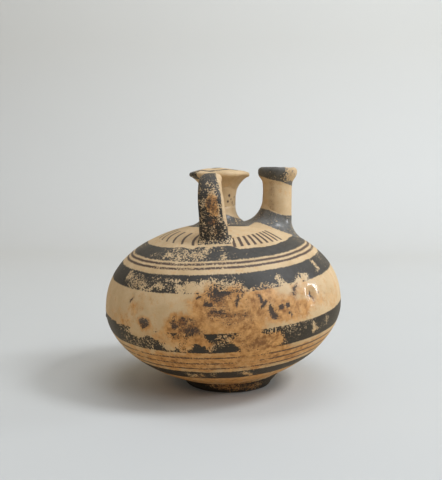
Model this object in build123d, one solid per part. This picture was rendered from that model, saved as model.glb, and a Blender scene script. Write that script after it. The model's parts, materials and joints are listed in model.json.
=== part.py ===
"""Stirrup jar: a small wheel-thrown oil jar closed by a false neck, with two strap handles and a spout.

Row frame, in millimetres: +Z up, origin at the centre of the foot's resting face, +X towards the spout.
The thrown body leans a little on its level foot, so the pieces that were set about the wheel's axis are
modelled in a wheel frame first and then leaned together. Each piece is a lump of clay that was shaped by
itself and luted to the next one, so pieces meet face to face and none overlaps another.
"""

import math
import os

from build123d import *

# Stance of the thrown body on its level foot
LEAN_ANGLE = 2.75
AXIS_SHIFT = -0.75

# Thrown body: two ovals that meet at the belly, cut off flat at the base
BELLY_RADIUS = 57.75
BELLY_HEIGHT = 39.8
SHOULDER_RISE = 39.4
SHOULDER_FULLNESS = 0.60
BASE_POLE_HEIGHT = 0.8
BASE_FULLNESS = 0.50
BASE_HEIGHT = 2.2
WALL = 4.5
FLOOR_THICKNESS = 5.5
FLOOR_FULLNESS = 0.58

# Ring foot
FOOT_RADIUS = 21.2
FOOT_INNER_RADIUS = 16.4
FOOT_FLARE_ANGLE = 35.0
FOOT_SEAT_DEPTH = 5.0
FOOT_EDGE_ROUNDING = 0.8

# False neck: a solid stem, plugged into the opening that the body was thrown through
NECK_TILT = 2.5
PLUG_RADIUS = 8.0
PLUG_REACH = 1.5
STEM_ROOT_RADIUS = 9.4
STEM_RADIUS = 8.0
STEM_TOP_RADIUS = 8.9
STEM_HEIGHT = 17.0
TENON_RADIUS = 4.5
TENON_HEIGHT = 3.5

# Disc that the false neck carries
DISC_RADIUS = 14.8
DISC_RIM_RISE = 4.6
DISC_RIM_THICKNESS = 3.0
DISC_UNDERCUT = 0.4
DISC_CROWN = 2.0

# Strap handles
HANDLE_WIDTH = 11.2
HANDLE_THICKNESS = 6.2
HANDLE_SPAN = 30.0
HANDLE_ROOT_SPAN = 32.3
HANDLE_BEND = 13.5
HANDLE_DROP = 0.4

# Spout, thrown as a tube and set in a hole pierced through the shoulder
SPOUT_OFFSET = 27.95
SPOUT_TILT = 3.0
SPOUT_RADIUS = 7.45
SPOUT_BORE_RADIUS = 4.4
SPOUT_HEIGHT = 29.6
SPIGOT_RADIUS = 6.0
SPIGOT_REACH = 3.5
SPIGOT_BORE_RADIUS = 5.0
SPIGOT_BORE_TOP = 13.0
LIP_RADIUS = 9.5
LIP_FLARE_HEIGHT = 7.0
MOUTH_RADIUS = 5.8
MOUTH_DEPTH = 4.0

# Luting clay worked in round the joints
SPOUT_LUTING = 8.6
NECK_LUTING = 3.0
HANDLE_LUTING = 1.6

SHOULDER_TOP = BELLY_HEIGHT + SHOULDER_RISE
SEAM_TURN = 180


def quarter_oval(radius, rise, fullness):
    """A thrown wall's outline from the belly to the wheel axis, rounder as fullness grows."""
    end = BELLY_HEIGHT + rise
    return Bezier(
        (radius, BELLY_HEIGHT),
        (radius, BELLY_HEIGHT + fullness * rise),
        (fullness * radius, end),
        (0, end),
    )


def turned(*edges):
    """The solid turned about Z from edges drawn in radius and height, with its seam away from the spout."""
    outline = Plane.XZ * make_face(edges)
    return Rot(0, 0, SEAM_TURN) * revolve(outline, Axis.Z)


def thrown_form(radius, rise, upper_fullness, drop, lower_fullness):
    """The solid under two quarter ovals that meet at the belly."""
    upper = quarter_oval(radius, rise, upper_fullness)
    lower = quarter_oval(radius, -drop, lower_fullness)
    return turned(upper, lower, Line(upper @ 1, lower @ 1))


def shoulder_height(radius):
    """Height of the body's outer surface where the shoulder has this radius."""
    outline = quarter_oval(BELLY_RADIUS, SHOULDER_RISE, SHOULDER_FULLNESS)
    plumb = Line((radius, BELLY_HEIGHT), (radius, SHOULDER_TOP + SHOULDER_RISE))
    return outline.intersect(plumb).vertices()[0].Y


# Places of the pieces: the wheel frame in the row frame, the others in the wheel frame
wheel = Location((AXIS_SHIFT, 0, 0), (0, -LEAN_ANGLE, 0))
neck_seat = Location((0, 0, SHOULDER_TOP), (0, NECK_TILT, 0))
spout_seat = Location((SPOUT_OFFSET, 0, shoulder_height(SPOUT_OFFSET)), (0, SPOUT_TILT, 0))
plug_depth = WALL + PLUG_REACH
spigot_depth = WALL + SPIGOT_REACH
tenon_top = STEM_HEIGHT + TENON_HEIGHT
disc_rim_low = STEM_HEIGHT + DISC_RIM_RISE


def make_bodies():
    """The body's outer form, that form with the plug and spigot holes, and the hollow body itself."""
    base_drop = BELLY_HEIGHT - BASE_POLE_HEIGHT
    full = thrown_form(BELLY_RADIUS, SHOULDER_RISE, SHOULDER_FULLNESS, base_drop, BASE_FULLNESS)
    outer = split(full, Plane.XY.offset(BASE_HEIGHT), keep=Keep.TOP)
    floor_drop = BELLY_HEIGHT - BASE_HEIGHT - FLOOR_THICKNESS
    hollow = thrown_form(
        BELLY_RADIUS - WALL, SHOULDER_RISE - WALL, SHOULDER_FULLNESS, floor_drop, FLOOR_FULLNESS
    )
    holes = [
        neck_seat * Cylinder(PLUG_RADIUS, 2 * plug_depth),
        spout_seat * Cylinder(SPIGOT_RADIUS, 2 * spigot_depth),
    ]
    pierced = outer - holes
    return outer, pierced, pierced - hollow


def make_foot(outer):
    """A level ring whose flaring side runs up into the leaning body."""
    rise = BASE_HEIGHT + FOOT_RADIUS * math.sin(math.radians(LEAN_ANGLE)) + FOOT_SEAT_DEPTH
    top_radius = FOOT_RADIUS + rise * math.tan(math.radians(FOOT_FLARE_ANGLE))
    outline = Polyline(
        (FOOT_INNER_RADIUS, 0), (FOOT_RADIUS, 0), (top_radius, rise), (FOOT_INNER_RADIUS, rise), close=True
    )
    ring = turned(*outline.edges())
    resting_edges = ring.edges().filter_by(GeomType.CIRCLE).group_by(Axis.Z)[0]
    return fillet(resting_edges, FOOT_EDGE_ROUNDING) - wheel * outer


def make_neck_blank():
    """A waisted stem with a plug below it and a tenon for the disc above it."""
    root = (STEM_ROOT_RADIUS, -WALL)
    waist = (STEM_RADIUS, STEM_HEIGHT / 2)
    top = (STEM_TOP_RADIUS, STEM_HEIGHT)
    plug = Polyline((0, -plug_depth), (PLUG_RADIUS, -plug_depth), (PLUG_RADIUS, -WALL), root)
    tenon = Polyline(top, (TENON_RADIUS, STEM_HEIGHT), (TENON_RADIUS, tenon_top), (0, tenon_top))
    axis = Line(tenon @ 1, plug @ 0)
    return neck_seat * turned(*plug.edges(), ThreePointArc(root, waist, top), *tenon.edges(), axis)


def make_disc():
    """A disc with a hollowed underside, a rounded rim and a low crown, socketed on the stem's tenon."""
    rim_radius = DISC_RADIUS - DISC_RIM_THICKNESS / 2
    rim_high = disc_rim_low + DISC_RIM_THICKNESS
    crown = rim_high + DISC_CROWN
    socket = Polyline(
        (0, tenon_top),
        (TENON_RADIUS, tenon_top),
        (TENON_RADIUS, STEM_HEIGHT),
        (STEM_TOP_RADIUS, STEM_HEIGHT),
    )
    underside = SagittaArc(socket @ 1, (rim_radius, disc_rim_low), DISC_UNDERCUT)
    rim_middle = (DISC_RADIUS, disc_rim_low + DISC_RIM_THICKNESS / 2)
    rim = ThreePointArc(underside @ 1, rim_middle, (rim_radius, rim_high))
    top = Bezier(rim @ 1, (rim_radius / 2, crown), (0, crown))
    return neck_seat * turned(*socket.edges(), underside, rim, top, Line(top @ 1, socket @ 0))


def make_strap():
    """The front strap before it is trimmed: a flat oval, out from the disc and bent down into the shoulder."""
    rim_high = SHOULDER_TOP + disc_rim_low + DISC_RIM_THICKNESS
    top = rim_high - HANDLE_DROP - HANDLE_THICKNESS / 2
    root = shoulder_height(HANDLE_ROOT_SPAN) - WALL
    front = Plane(origin=(0, 0, 0), x_dir=(0, -1, 0), z_dir=(-1, 0, 0))
    path = front * FilletPolyline(
        (TENON_RADIUS, top), (HANDLE_SPAN, top), (HANDLE_ROOT_SPAN, root), radius=HANDLE_BEND
    )
    start = Plane(origin=path @ 0, x_dir=(1, 0, 0), z_dir=path % 0)
    section = start * Ellipse(HANDLE_WIDTH / 2, HANDLE_THICKNESS / 2)
    return sweep(section, path)


def make_spout_blank():
    """A tube whose bore widens down to its spigot, with a flared lip and a funnel mouth above."""
    lip_middle = (LIP_RADIUS + MOUTH_RADIUS) / 2
    lip_low = SPOUT_HEIGHT - (LIP_RADIUS - MOUTH_RADIUS) / 2
    flare_low = lip_low - LIP_FLARE_HEIGHT
    funnel_low = lip_low - MOUTH_DEPTH
    tube = Polyline(
        (SPIGOT_BORE_RADIUS, -spigot_depth),
        (SPIGOT_RADIUS, -spigot_depth),
        (SPIGOT_RADIUS, -WALL),
        (SPOUT_RADIUS, -WALL),
        (SPOUT_RADIUS, flare_low),
    )
    flare_middle = (flare_low + lip_low) / 2
    flare = Bezier(
        tube @ 1, (SPOUT_RADIUS, flare_middle), (LIP_RADIUS, flare_middle), (LIP_RADIUS, lip_low)
    )
    lip = ThreePointArc(flare @ 1, (lip_middle, SPOUT_HEIGHT), (MOUTH_RADIUS, lip_low))
    funnel_middle = (SPOUT_BORE_RADIUS, (funnel_low + lip_low) / 2)
    funnel = Bezier(lip @ 1, funnel_middle, (SPOUT_BORE_RADIUS, funnel_low))
    bore = Polyline(funnel @ 1, (SPOUT_BORE_RADIUS, SPIGOT_BORE_TOP), tube @ 0)
    return spout_seat * turned(*tube.edges(), flare, lip, funnel, *bore.edges())


def make_luting(outer, blank, radius):
    """The fillet of soft clay pressed into the corner that a piece makes with the body."""
    joined = outer + blank
    corner = new_edges(outer, blank, combined=joined)
    added = fillet(corner, radius) - joined
    return added.solids().sort_by(SortBy.VOLUME)[-1]


outer, pierced, body = make_bodies()
neck_blank = make_neck_blank()
disc = make_disc()
strap = make_strap()
spout_core = spout_seat * Cylinder(SPOUT_RADIUS, SPOUT_HEIGHT)
neck = neck_blank - pierced
front_handle = strap - outer - neck - disc
front_handle_luting = make_luting(outer, strap, HANDLE_LUTING)

wheel_pieces = {
    "thrown_body": body,
    "false_neck": neck,
    "neck_luting": make_luting(outer, neck_blank, NECK_LUTING),
    "false_mouth_disc": disc,
    "front_handle": front_handle,
    "front_handle_luting": front_handle_luting,
    "rear_handle": mirror(front_handle, about=Plane.XZ),
    "rear_handle_luting": mirror(front_handle_luting, about=Plane.XZ),
    "pouring_spout": make_spout_blank() - pierced,
    "spout_luting": make_luting(outer, spout_core, SPOUT_LUTING),
}
pieces = {name: wheel * piece for name, piece in wheel_pieces.items()}
pieces["ring_foot"] = make_foot(outer)

os.makedirs("parts", exist_ok=True)
for name, piece in pieces.items():
    export_step(piece, f"parts/{name}.step")
    print(name, round(piece.volume), "cubic mm")
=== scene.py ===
# %% [markdown]
# # A painted stirrup jar
# A stirrup jar is a small closed pot for oil. The potter threw a squat hollow body, plugged its top with
# a solid false neck, set a disc on that neck, ran two strap handles from the disc to the shoulder and
# pushed a spout through a hole in the shoulder. Every joint was smeared over with soft clay. The jar was
# then painted with dark slip, fired, and worn for a very long time.
#
# The solids give the sizes and the places. This lesson gives each of them the uneven skin of hand-made
# clay and one painted finish that runs over all the joints, as the brush did.

# %% Load the solids and keep their box
import json
import math

import bpy
import numpy as np
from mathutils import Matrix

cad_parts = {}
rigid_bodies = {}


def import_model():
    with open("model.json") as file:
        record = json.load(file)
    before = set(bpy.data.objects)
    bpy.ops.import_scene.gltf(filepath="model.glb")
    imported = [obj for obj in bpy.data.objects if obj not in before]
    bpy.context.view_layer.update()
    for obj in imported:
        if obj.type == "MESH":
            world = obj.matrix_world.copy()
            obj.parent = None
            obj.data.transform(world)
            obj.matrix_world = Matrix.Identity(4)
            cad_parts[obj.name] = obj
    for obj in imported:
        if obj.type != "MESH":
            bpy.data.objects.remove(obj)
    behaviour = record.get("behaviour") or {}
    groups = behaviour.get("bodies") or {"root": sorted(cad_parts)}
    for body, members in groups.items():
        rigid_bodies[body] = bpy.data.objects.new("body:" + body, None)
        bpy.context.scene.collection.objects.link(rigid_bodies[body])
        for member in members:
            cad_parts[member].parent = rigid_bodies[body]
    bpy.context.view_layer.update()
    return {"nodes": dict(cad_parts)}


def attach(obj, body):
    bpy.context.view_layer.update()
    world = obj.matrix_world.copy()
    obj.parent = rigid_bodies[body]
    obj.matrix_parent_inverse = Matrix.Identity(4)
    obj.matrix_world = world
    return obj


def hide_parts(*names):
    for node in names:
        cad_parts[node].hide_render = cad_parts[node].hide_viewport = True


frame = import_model()
MM = 0.001
print("solids:", sorted(frame["nodes"]))

# %% [markdown]
# ## The wheel frame
# The jar stands on a level foot, but its body leans a little. Shapes and paint are easiest to describe
# about the wheel's own axis, so all of them are worked out there, in millimetres, and leaned at the end.
# The lean could be a rotation on each object, but then the patterns would turn with it, so it goes into
# the points instead.

# %% Lean points from the wheel frame to the row frame
LEAN = 2.75
AXIS_SHIFT = -0.75


def tilted(points, degrees):
    """Turn points about Y: x' = x cos a + z sin a and z' = z cos a - x sin a."""
    turn = math.radians(degrees)
    cos, sin = math.cos(turn), math.sin(turn)
    x, y, z = np.moveaxis(points, -1, 0)
    return np.stack([x * cos + z * sin, y, z * cos - x * sin], -1)


def leaned(points):
    """Wheel frame to row frame: tilt back by the lean and shift along X."""
    return tilted(points, -LEAN) + np.array([AXIS_SHIFT, 0, 0])


print("the wheel's axis meets the table at x =", AXIS_SHIFT, "mm and leans", LEAN, "degrees")

# %% [markdown]
# ## From a grid to a closed skin
# A wheel turns a profile into a pot, and numpy can do the same: the profile is one list of radii and
# heights, the turn is one list of angles, and their product is a grid of points. Spin or Screw would make
# the same mesh, but a grid also lets a formula dent, mark and paint every point at once.

# %% Curves and turned grids


def bezier(controls, count):
    """Points of a Bezier curve: each control point weighted by its Bernstein polynomial."""
    controls = np.array(controls, float)
    order = len(controls) - 1
    t = np.linspace(0, 1, count)[:, None]
    return sum(
        math.comb(order, i) * t**i * (1 - t) ** (order - i) * point for i, point in enumerate(controls)
    )


def arc(centre, radius, start, end, count):
    """Points of a circular arc between two angles in degrees: centre + radius (cos a, sin a)."""
    angle = np.radians(np.linspace(start, end, count))
    return np.array(centre) + radius * np.stack([np.cos(angle), np.sin(angle)], -1)


def turned(profile, columns):
    """Carry a profile of (radius, height) round Z: x = r cos a, y = r sin a, one row for each pair."""
    angle = np.linspace(0, 2 * np.pi, columns, endpoint=False)
    radius, height = np.array(profile, float).T[:, :, None]
    return np.stack([radius * np.cos(angle), radius * np.sin(angle), height + 0 * angle], -1)


def normals(rows):
    """Outward unit normals of a grid: the cross product of its steps round the piece and along it."""
    around = np.roll(rows, -1, axis=1) - np.roll(rows, 1, axis=1)
    along = np.gradient(rows, axis=0)
    across = np.cross(around, along)
    return across / np.maximum(np.linalg.norm(across, axis=-1, keepdims=True), 1e-9)


def pushed(rows, distance):
    """Points of a grid moved along their normals by a distance in mm, inwards where it is below zero."""
    return rows + distance[..., None] * normals(rows)


quarter = arc((0, 0), 1, 0, 90, 50)
print("a quarter arc of radius 1 measures", np.linalg.norm(np.diff(quarter, axis=0), axis=1).sum().round(3))

# %% The skin that joins a grid


def show(name, data):
    """A new object with this data, put into the scene."""
    thing = bpy.data.objects.new(name, data)
    bpy.context.scene.collection.objects.link(thing)
    return thing


MARKS = {
    "slip": 3.0,
    "strokes": -3.0,
    "fan": 0.0,
    "pitch": 3.0,
    "wear": 0.0,
    "rust": 0.0,
    "stain": 0.0,
    "polish": 0.0,
}
# Strength of the painted sheen that greys slip facing up, standing for light from above.
PAINTED_SHEEN_ON_TOP = 0.75


def skin(name, rows, ring=False, **marks):
    """Join a grid of points into a closed mesh, with one float attribute for each mark.

    Columns always meet round the piece. On a ring the last row meets the first one, and otherwise a fan
    to a pole at the middle of each end row closes the piece. A mark that isn't given keeps its plain value,
    and the haze and sheen mark is a painted sheen where the skin faces up: the slip is greyed on top, as
    light from above would shine on it.
    """
    count, columns = rows.shape[:2]
    index = np.arange(count * columns).reshape(count, columns)
    beside = np.roll(index, -1, axis=1)
    quads = np.stack([index, beside, np.roll(beside, -1, axis=0), np.roll(index, -1, axis=0)], -1)
    faces = quads[: count if ring else -1].reshape(-1, 4).tolist()
    points = rows.reshape(-1, 3)
    if not ring:
        points = np.concatenate([points, rows[[0, -1]].mean(axis=1)])
        low_pole = np.full(columns, count * columns)
        faces += np.stack([low_pole, beside[0], index[0]], -1).tolist()
        faces += np.stack([low_pole + 1, index[-1], beside[-1]], -1).tolist()
    mesh = bpy.data.meshes.new(name)
    mesh.from_pydata((points * MM).tolist(), [], faces)
    mesh.shade_smooth()
    # Painted sheen: slip that faces up is greyed as if it shone with light from above.
    facing_up = PAINTED_SHEEN_ON_TOP * np.clip(normals(rows)[..., 2], 0, 1)
    for mark, values in {**MARKS, "film": facing_up, **marks}.items():
        grid = np.broadcast_to(values, (count, columns))
        flat = grid.ravel() if ring else np.append(grid, grid[[0, -1]].mean(axis=1))
        mesh.attributes.new(mark, "FLOAT", "POINT").data.foreach_set("value", flat.astype(np.float32))
    piece = show(name, mesh)
    print(name, len(mesh.vertices), "points,", len(mesh.polygons), "faces")
    return piece


print("marks on every skin:", ", ".join(MARKS))

# %% [markdown]
# ## Hand-made unevenness
# Nothing on the jar is truly round. A Displace modifier with a noise texture would roughen it, but its
# strength could not follow the potter's work, so the unevenness is a sum of a few long sine waves in
# seeded directions, and single dents and lumps are soft spots placed one by one.

# %% Long waves and single spots


def lumps(points, size, seed, waves=14):
    """Smooth unevenness from about -1 to 1: sine waves about `size` mm long in seeded directions."""
    draw = np.random.default_rng(seed)
    heading = draw.normal(size=(3, waves))
    heading /= np.linalg.norm(heading, axis=0)
    pitch = 2 * np.pi / (size * draw.uniform(0.7, 1.5, waves))
    return np.sin(points @ (heading * pitch) + draw.uniform(0, 2 * np.pi, waves)).sum(-1) / math.sqrt(waves)


def strayed(points, reach, size, seed):
    """Points moved about by three fields of lumps, so that a patch drawn round comes out ragged."""
    return points + reach * np.stack([lumps(points, size, seed + axis) for axis in range(3)], -1)


def polar(points):
    """Azimuth in degrees, radius and height of points in the wheel frame."""
    x, y, z = np.moveaxis(points, -1, 0)
    return np.degrees(np.arctan2(y, x)), np.hypot(x, y), z


def spots(points, places):
    """Soft spots on a turned wall, added up: amount times exp(-d^4).

    A place is an azimuth in degrees, a height in mm, a half width, a half height and an amount, and d is
    the distance from it in half sizes.
    """
    azimuth, radius, height = polar(points)
    total = np.zeros(azimuth.shape)
    for place_azimuth, place_height, half_width, half_height, amount in places:
        away = radius * np.radians((azimuth - place_azimuth + 180) % 360 - 180)
        square = (away / half_width) ** 2 + ((height - place_height) / half_height) ** 2
        total += amount * np.exp(-(square**2))
    return total


test_ring = turned([(50.0, 0.0)], 360)
print("waves on a ring of 50 mm radius reach", np.abs(lumps(test_ring, 55, seed=1)).max().round(2))

# %% [markdown]
# ## The painter's plan
# The slip was brushed on while the jar turned, so most of it lies in bands round the body. The shoulder is
# different: there the painter left a pale field round each side and filled it with short strokes, and
# went round the necks by hand. A mask painted on an image would need a texture. Here the edge of the
# slip is a signed distance in millimetres, worked out at each point and stored in the mesh. Distances
# blend smoothly between points, so the edge stays crisp however coarse the grid is.

# %% Signed distances to the edges of the slip
SPOUT_OFFSET = 27.95
SPOUT_WEDGE = 11.2
WEDGE_OFFSET = 27.2
SHOULDER_PAINT_LOW = 58.0
ROOT_PAINT = (-7.4, 7.4)
ROOT_PAINT_INNER = 28.5
ROOT_PAINT_OUTER = 35.9
FIELD_CORNER = 2.2


def pale_field(points):
    """Distance inside the shoulder's pale field: the least of those to its edges, the spout and the handle.

    The inner edge and the edge round the spout join by a soft least, -k log(exp(-a/k) + exp(-b/k)).
    """
    azimuth, radius, height = polar(points)
    side = np.abs(azimuth)
    outer_edge = np.interp(
        side,
        [0, 23, 33, 47, 59, 74, 76.5, 79, 101, 104, 113, 125, 145, 163, 180],
        [35.6, 36.6, 37.8, 39.4, 40, 40, 38.4, 37.2, 37.2, 39, 37.4, 38, 36.9, 35.6, 35.4],
    )
    inner_edge = np.interp(side, [20, 41, 55, 70, 180], [17.2, 18.2, 16.6, 15.1, 15.0])
    from_spout = np.hypot(points[..., 0] - WEDGE_OFFSET, points[..., 1]) - SPOUT_WEDGE
    beside_root = np.maximum(ROOT_PAINT[0] - points[..., 0], points[..., 0] - ROOT_PAINT[1])
    from_root = np.maximum.reduce([beside_root, ROOT_PAINT_INNER - radius, radius - ROOT_PAINT_OUTER])
    on_shoulder = height - SHOULDER_PAINT_LOW
    rounded = -FIELD_CORNER * np.logaddexp((inner_edge - radius) / FIELD_CORNER, -from_spout / FIELD_CORNER)
    return np.minimum.reduce([rounded, outer_edge - radius, from_root, on_shoulder])


low_front = np.array([[0.0, -37.0, 71.0], [27.0, -27.0, 71.0]])
print("inside the pale field by", pale_field(low_front).round(1), "mm at the handle and beside the spout")

# %% Strokes that fill the pale field


def strokes_of_fan(points, count, inner_azimuth, inner_radius, outer_azimuth, outer_radius, bow):
    """Stroke number, pitch in mm, and distance in mm inside the strip that the strokes fill.

    Each end of stroke k lies at an azimuth and a radius that change evenly with k, given as a start and a
    step, and its middle is bowed by some degrees. The number is found by going back and forth three times
    between k and the share of the way out.
    """
    azimuth, radius, height = polar(points)
    number = np.zeros(azimuth.shape)
    for _ in range(3):
        inside = inner_radius[0] + inner_radius[1] * np.clip(number, 0, count - 1)
        outside = outer_radius[0] + outer_radius[1] * np.clip(number, 0, count - 1)
        share = np.clip((radius - inside) / (outside - inside), 0, 1)
        bowed = 4 * bow * share * (1 - share)
        start = inner_azimuth[0] + share * (outer_azimuth[0] - inner_azimuth[0]) + bowed
        step = inner_azimuth[1] + share * (outer_azimuth[1] - inner_azimuth[1])
        number = (-np.abs(azimuth) - start) / step
    ends = np.minimum(radius - inside, outside - radius)
    pitch = radius * np.radians(np.abs(step))
    sides = pitch * np.minimum(number + 0.5, count - 0.5 - number)
    return number, pitch, np.minimum.reduce([ends, sides, height - SHOULDER_PAINT_LOW])


def field_strokes(points):
    """The two fans of strokes, beside the spout and behind the handle: whichever is nearer at a point."""
    right = strokes_of_fan(points, 9, (-75.8, 5.04), (31.4, -0.54), (-76.2, 4.97), (38.5, -0.19), 0)
    left = strokes_of_fan(points, 6, (-105.5, -12.4), (25.0, -0.95), (-105.3, -9.5), (36.2, -1.0), -2.2)
    nearer = right[2] > left[2]
    return [np.where(nearer, in_right, in_left) for in_right, in_left in zip(right, left)]


print("strokes beside the spout are", field_strokes(low_front)[1][1].round(1), "mm apart")

# %% [markdown]
# ## Where time has worn it
# The slip flaked where the jar was rubbed and where salts worked in from the soil, and one side took a
# rusty stain. Four attributes carry this: wear, for slip that has flaked, rust, for clay that has turned
# orange, stain, for dark specks, and polish, for places rubbed smooth. Each is a list of spots read off the
# jar, turned into soft patches.

# %% Worn places on the body
# Azimuth in degrees, height, half width and half height in mm, and amount.
BODY_WEAR = [
    (-93, 72.5, 7.0, 2.6, 0.42),
    (-126, 67.8, 6.0, 2.6, 0.30),
    (-115, 68.3, 5.0, 3.6, 0.38),
    (-105, 67.5, 4.0, 3.6, 0.42),
    (-97, 68.0, 3.6, 3.8, 0.48),
    (-85, 67.2, 1.6, 3.6, 0.34),
    (-110, 62.9, 20.0, 1.7, 0.36),
    (-138.5, 59.4, 3.0, 1.8, 0.55),
    (-131, 57.0, 7.0, 3.8, 0.42),
    (-121, 57.0, 6.0, 3.8, 0.34),
    (-111, 57.8, 4.0, 1.5, 0.38),
    (-113, 54.9, 9.0, 1.8, 0.34),
    (-104, 56.2, 4.0, 3.4, 0.48),
    (-96.5, 55.6, 4.6, 3.6, 0.80),
    (-90.5, 55.6, 2.4, 4.0, 0.48),
    (-85.5, 55.4, 3.2, 4.0, 0.46),
    (-79, 54.6, 4.2, 3.4, 0.44),
    (-67, 54.2, 9.0, 1.8, 0.50),
    (-57.5, 56.6, 2.0, 2.4, 0.55),
    (-53, 54.0, 6.0, 1.6, 0.60),
    (-45, 55.4, 4.4, 2.4, 0.58),
    (-31, 59.6, 2.4, 1.8, 0.60),
    (-142, 41.0, 14.0, 1.9, 0.95),
    (-124, 36.8, 8.0, 2.4, 1.0),
    (-116, 35.6, 4.0, 2.0, 0.80),
    (-111, 33.0, 3.8, 5.0, 0.82),
    (-104, 33.0, 4.6, 5.4, 0.64),
    (-96.5, 33.2, 4.4, 3.8, 0.95),
    (-92, 31.0, 3.4, 2.8, 0.60),
    (-86, 34.0, 3.4, 4.4, 0.40),
    (-76, 33.0, 6.8, 6.0, 0.95),
    (-66.5, 30.4, 6.4, 3.6, 1.0),
    (-64, 36.8, 4.6, 1.8, 0.15),
    (-41, 34.0, 1.8, 2.4, 0.60),
    (-39.5, 32.3, 2.2, 1.4, 0.45),
    (-33, 35.0, 4.0, 3.0, 0.30),
    (-105, 22.5, 34.0, 4.5, 0.36),
    (-70, 22.0, 12.0, 5.0, 0.30),
    (-72, 14.0, 3.0, 2.6, 0.60),
    (-93, 15.0, 2.5, 2.0, 0.40),
    (-105, 14.0, 5.0, 2.5, 0.50),
    (58, 60.0, 9.0, 2.6, 0.42),
    (76, 62.5, 5.0, 2.0, 0.36),
    (104, 36.0, 7.0, 4.0, 0.52),
    (112, 33.5, 4.0, 2.4, 0.60),
    (150, 61.0, 6.0, 3.0, 0.40),
    (-172, 36.0, 6.0, 3.6, 0.46),
    (30, 35.0, 5.0, 3.2, 0.44),
    (120, 18.0, 14.0, 3.0, 0.45),
]
print("worn places:", len(BODY_WEAR))

# %% Rusty places on the body
BODY_RUST = [
    (-90, 49.0, 11.5, 6.0, 0.80),
    (-84, 42.0, 14.0, 5.0, 0.80),
    (-66, 46.0, 12.0, 7.0, 0.74),
    (-73, 52.0, 11.0, 4.0, 0.50),
    (-54, 43.5, 9.0, 6.5, 0.52),
    (-44, 46.5, 9.0, 8.0, 0.40),
    (-26, 45.5, 10.0, 6.5, 0.30),
    (-103, 40.2, 8.6, 4.8, 1.15),
    (-88, 53.0, 7.0, 4.0, 0.45),
    (-76, 33.0, 10.0, 6.5, 0.95),
    (-65, 31.0, 8.0, 4.5, 0.85),
    (-97, 33.5, 9.0, 5.5, 0.75),
    (-112, 35.0, 8.0, 4.0, 0.60),
    (-121.5, 40.2, 4.0, 3.0, 0.95),
    (-127, 46.5, 5.0, 2.6, 0.40),
    (-142, 40.0, 13.0, 4.0, 0.42),
    # The low rusty places make the lower belly darker and more orange: real rust, and partly painted shade
    # under the belly.
    (-82, 23.0, 36.0, 6.0, 0.70),
    (-125, 23.0, 26.0, 6.5, 0.40),
    (-40, 24.5, 22.0, 5.0, 0.46),
    (-90, 10.0, 60.0, 5.0, 0.62),
    (106, 38.0, 12.0, 6.0, 0.62),
    (64, 50.0, 9.0, 5.0, 0.42),
    (168, 44.0, 12.0, 5.0, 0.44),
    (20, 26.0, 16.0, 6.0, 0.50),
    (130, 22.0, 26.0, 6.0, 0.52),
]
print("rusty places:", len(BODY_RUST))

# %% Stains, dents and polish on the body
BODY_STAIN = [
    (-96.5, 51.3, 1.1, 1.0, 0.78),
    (-93, 48.4, 1.5, 1.3, 0.85),
    (-85.8, 54.0, 1.8, 1.2, 0.44),
    (-79.8, 49.4, 1.2, 1.8, 0.72),
    (-77, 51.8, 1.2, 1.6, 0.68),
    (-70.3, 50.8, 1.0, 1.2, 0.72),
    (-68.3, 48.8, 1.2, 1.4, 0.74),
    (-65, 43.6, 1.3, 2.0, 0.62),
    (-64.8, 46.6, 1.0, 1.8, 0.64),
    (-60, 45.7, 0.9, 1.2, 0.70),
    (-57.2, 45.2, 1.1, 1.2, 0.66),
    (-57, 42.0, 1.0, 1.0, 0.62),
    (-42.5, 47.0, 1.7, 1.7, 0.76),
    (-42, 49.1, 1.2, 1.2, 0.66),
    (-37, 48.6, 0.9, 1.5, 0.62),
    (-33, 47.4, 0.7, 0.9, 0.62),
    (-51, 52.6, 1.5, 1.0, 0.60),
    (-53.5, 50.8, 2.4, 2.0, 0.55),
    (-131.5, 50.0, 1.1, 1.0, 0.80),
    (-131, 52.4, 0.9, 1.4, 0.50),
    (-121.5, 40.3, 2.9, 2.4, 0.72),
    (-103, 40.4, 6.8, 4.2, 0.38),
    (-88, 53.6, 5.0, 2.4, 0.30),
    (-98.5, 43.8, 3.0, 1.2, 0.25),
    (-107, 40.8, 2.0, 1.8, 0.22),
    (-96.5, 37.0, 6.0, 2.4, 0.34),
    (-89, 50.0, 8.0, 5.5, 0.34),
    (-86, 42.5, 9.0, 4.5, 0.36),
    (-71, 45.0, 9.0, 7.0, 0.26),
    (-56, 46.0, 8.0, 6.0, 0.18),
    (-80, 32.0, 12.0, 5.0, 0.28),
    (-100, 22.0, 30.0, 6.0, 0.22),
    (108, 41.0, 1.6, 1.3, 0.75),
    (99, 44.5, 1.0, 1.2, 0.70),
    (67, 51.0, 1.2, 1.0, 0.70),
    (165, 45.5, 1.3, 1.1, 0.70),
    (104, 38.0, 8.0, 5.0, 0.24),
]
BODY_DENTS = [
    (-124, 43.3, 3.0, 2.2, 0.45),
    (-121.5, 40.4, 2.6, 2.0, -0.6),
    (-43.0, 48.2, 2.6, 3.4, -1.3),
    (-47.0, 50.2, 2.6, 5.2, 0.50),
    (-162, 38.1, 1.0, 1.0, 0.35),
    (-103, 40.0, 8.0, 5.0, -0.4),
    (-86, 47.0, 14.0, 8.0, -0.3),
    (-65, 43.6, 2.2, 2.8, -0.3),
]
BODY_POLISH = [(-43, 51.0, 6.0, 6.0, 1.0), (-62, 46.0, 16.0, 8.0, 0.35), (-121, 43.0, 4.0, 3.0, 0.6)]
print("stains:", len(BODY_STAIN), "dents:", len(BODY_DENTS), "polished places:", len(BODY_POLISH))

# %% [markdown]
# ## The thrown body
# The body is two ovals that meet at the belly, with a flat base and a hollow inside. A sphere that is
# scaled would have the wrong shoulder, so the outline is two Bezier quarters, walked from the middle of
# the base, out and up to the opening at the top, and back down the inner wall to the middle of the floor.

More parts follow.
